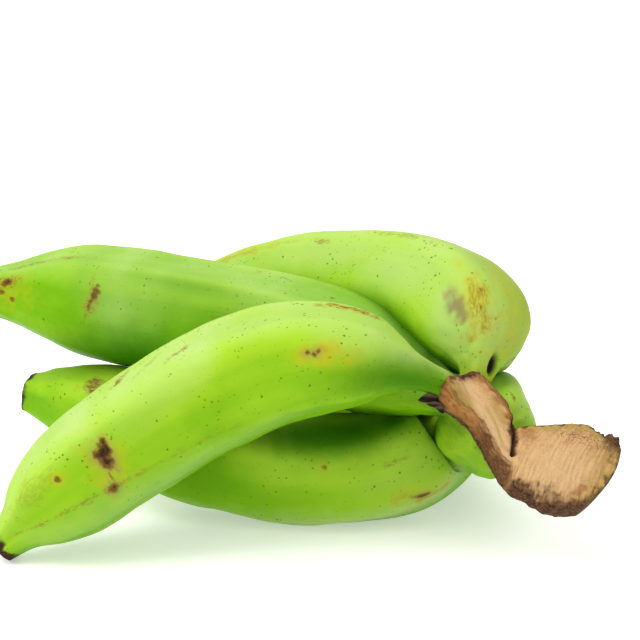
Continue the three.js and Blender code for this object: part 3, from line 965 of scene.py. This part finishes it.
class PLANTAIN_OT_crown(bpy.types.Operator):
    """Build the cut crown and the scrap of leaf beside it"""

    bl_idname = "plantain.crown"
    bl_label = "Crown"

    def execute(self, context):
        settings = context.scene.plantain_crown
        mesh = grid_mesh("crown_stalk", *crown_surface(settings))
        add_piece("crown_stalk", mesh, crown_material(settings), "crown")
        mesh = grid_mesh("leaf_scrap", *scrap_surface(settings))
        add_piece("leaf_scrap", mesh, scrap_material(settings), None)
        return {"FINISHED"}


class PLANTAIN_OT_stage(bpy.types.Operator):
    """Build the floor, the lights and the camera"""

    bl_idname = "plantain.stage"
    bl_label = "Stage"

    def execute(self, context):
        settings = context.scene.plantain_stage
        build_floor(settings)
        build_world(context.scene, settings)
        build_lamp(settings)
        build_camera(context.scene, settings)
        return {"FINISHED"}


def build_floor(settings):
    """A square level sheet on the ground."""
    half = settings.floor_width / 2
    mesh = bpy.data.meshes.new("floor")
    mesh.from_pydata([(-half, -half, 0), (half, -half, 0), (half, half, 0), (-half, half, 0)], [],
                     [(0, 1, 2, 3)])
    mesh.materials.append(floor_material(settings))
    add_object("floor", mesh)


def build_world(scene, settings):
    """White surroundings that are brightest overhead, and plain white where the camera sees them."""
    nodes = Nodes(bpy.data.worlds.new("Studio"), "Background")
    split, span, strength = nodes.new("SeparateXYZ"), nodes.new("MapRange"), nodes.new("Mix")
    nodes.link(nodes.new("TexCoord").outputs["Generated"], split.inputs[0])
    nodes.link(split.outputs["Z"], span.inputs["Value"])
    span.inputs["To Min"].default_value = settings.level_light
    span.inputs["To Max"].default_value = settings.top_light
    nodes.link(nodes.new("LightPath").outputs["Is Camera Ray"], strength.inputs[0])
    nodes.link(span.outputs[0], strength.inputs[2])
    strength.inputs[3].default_value = 1.0
    nodes.set_shader(Color=(1, 1, 1, 1))
    nodes.link(strength.outputs[0], nodes.shader.inputs["Strength"])
    scene.world = nodes.owner


KEY_WIDTH = .8
KEY_AIM = (0, 0, .05)


def build_lamp(settings):
    """A broad round lamp high on the left, turned towards the hand."""
    data = bpy.data.lights.new("key", "AREA")
    data.shape = "DISK"
    data.size = KEY_WIDTH
    data.energy = settings.key_light
    lamp = add_object("key", data)
    lamp.location = settings.key_place
    aim = np.array(KEY_AIM) - np.array(settings.key_place)
    lean = math.atan2(math.hypot(aim[0], aim[1]), -aim[2])
    lamp.rotation_euler = (lean, 0, math.atan2(aim[1], aim[0]) - math.pi / 2)


def build_camera(scene, settings):
    """A camera in front of the hand that looks a little down on it."""
    data = bpy.data.cameras.new("camera")
    data.lens = settings.camera_lens
    camera = add_object("camera", data)
    tilt = settings.camera_tilt
    aim = np.array(settings.camera_aim)
    camera.location = aim + settings.camera_distance * np.array((0, -math.cos(tilt), math.sin(tilt)))
    camera.rotation_euler = (math.pi / 2 - tilt, 0, 0)
    scene.camera = camera
    scene.view_settings.view_transform = "Standard"


class PLANTAIN_PT_panel(bpy.types.Panel):
    """Lists the hand's settings and the steps that build it"""

    bl_label = "Plantain hand"
    bl_idname = "PLANTAIN_PT_panel"
    bl_space_type = "VIEW_3D"
    bl_region_type = "UI"
    bl_category = "Plantain"

    def draw(self, context):
        for name, _, step in STEPS:
            box = self.layout.box()
            settings = getattr(context.scene, name)
            for key in type(settings).__annotations__:
                box.prop(settings, key)
            box.operator(step.bl_idname)


# Each step of the work: where its settings are kept, their group, and its operator.
STEPS = (
    ("plantain_peel", PLANTAIN_PG_peel, PLANTAIN_OT_fingers),
    ("plantain_crown", PLANTAIN_PG_crown, PLANTAIN_OT_crown),
    ("plantain_stage", PLANTAIN_PG_stage, PLANTAIN_OT_stage),
)


def register():
    for name, group, step in STEPS:
        bpy.utils.register_class(group)
        bpy.utils.register_class(step)
        setattr(bpy.types.Scene, name, bpy.props.PointerProperty(type=group))
    bpy.utils.register_class(PLANTAIN_PT_panel)


def unregister():
    bpy.utils.unregister_class(PLANTAIN_PT_panel)
    for name, group, step in reversed(STEPS):
        delattr(bpy.types.Scene, name)
        bpy.utils.unregister_class(step)
        bpy.utils.unregister_class(group)


def main():
    """Registers the add-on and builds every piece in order."""
    register()
    bpy.ops.plantain.fingers()
    bpy.ops.plantain.crown()
    bpy.ops.plantain.stage()


if __name__ == "__main__":
    main()
